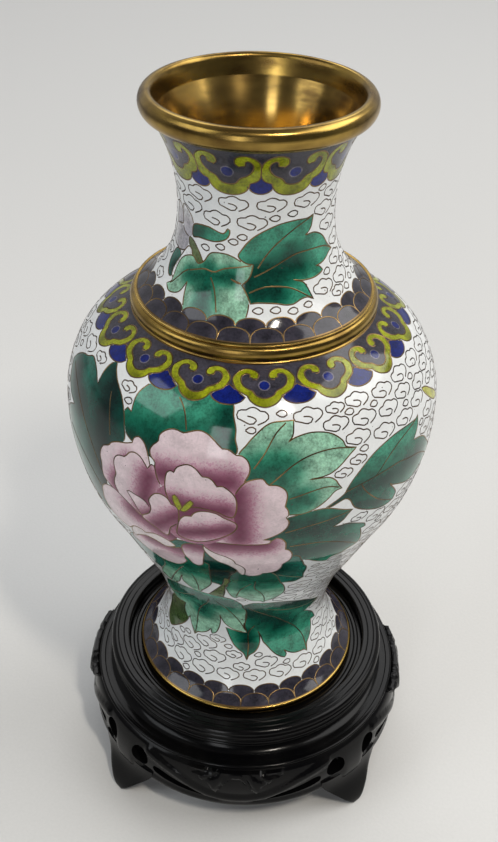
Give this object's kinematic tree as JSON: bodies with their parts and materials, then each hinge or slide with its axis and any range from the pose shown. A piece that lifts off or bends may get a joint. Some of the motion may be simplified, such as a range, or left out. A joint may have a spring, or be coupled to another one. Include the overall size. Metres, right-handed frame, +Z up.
{
  "type": "cloisonne vase",
  "caption": "Baluster cloisonne vase with flared mouth, enamelled peony and cloud decoration and brass rings, standing loose on a round carved black wood stand.",
  "frame": {"origin": "centre of the floor under the stand", "axes": "+Z up along the vase axis, the peony faces -Y, stand feet on the diagonals"},
  "size_m": [0.113, 0.113, 0.2404],
  "materials": {
    "brass": "polished brass, turned lines, lightly tarnished",
    "copper": "bare spun copper, dull",
    "enamel_white": "glossy white cloisonne enamel",
    "enamel_slate": "glossy dark grey enamel",
    "enamel_lime": "glossy yellow-green enamel",
    "enamel_navy": "glossy dark blue enamel",
    "enamel_green": "glossy green enamel, shaded from dark to mint",
    "enamel_pink": "glossy pink enamel, shaded from purple to pale pink",
    "enamel_turquoise": "glossy turquoise counter enamel",
    "black_wood": "black lacquered carved wood, satin gloss"
  },
  "bodies": {
    "stand": {"stand_rim": "black_wood", "stand_seat": "black_wood", "stand_waist": "black_wood", "stand_apron": "black_wood", "stand_foot_front_left": "black_wood", "stand_foot_front_right": "black_wood", "stand_foot_back_left": "black_wood", "stand_foot_back_right": "black_wood"},
    "vase": {"mouth_rim": "brass", "neck_shell": "brass", "shoulder_ring": "brass", "foot_ring": "brass", "upper_body_shell": "copper", "lower_body_shell": "copper", "foot_shell": "copper", "base_plate": "copper", "base_enamel": "enamel_turquoise", "neck_ruyi_enamel": "enamel_slate", "neck_cloud_enamel": "enamel_white", "neck_scale_enamel": "enamel_slate", "shoulder_ruyi_enamel": "enamel_slate", "upper_body_enamel": "enamel_white", "lower_body_enamel": "enamel_white", "foot_cloud_enamel": "enamel_white", "foot_scale_enamel": "enamel_slate", "mouth_wire": "brass", "neck_base_wire": "brass", "shoulder_wire": "brass", "foot_wire": "brass"}
  },
  "joints": [
    {"name": "vase_lift", "type": "slide", "parent": "stand", "child": "vase", "axis": [0, 0, 1], "range_m": [0, 0.06]}
  ]
}
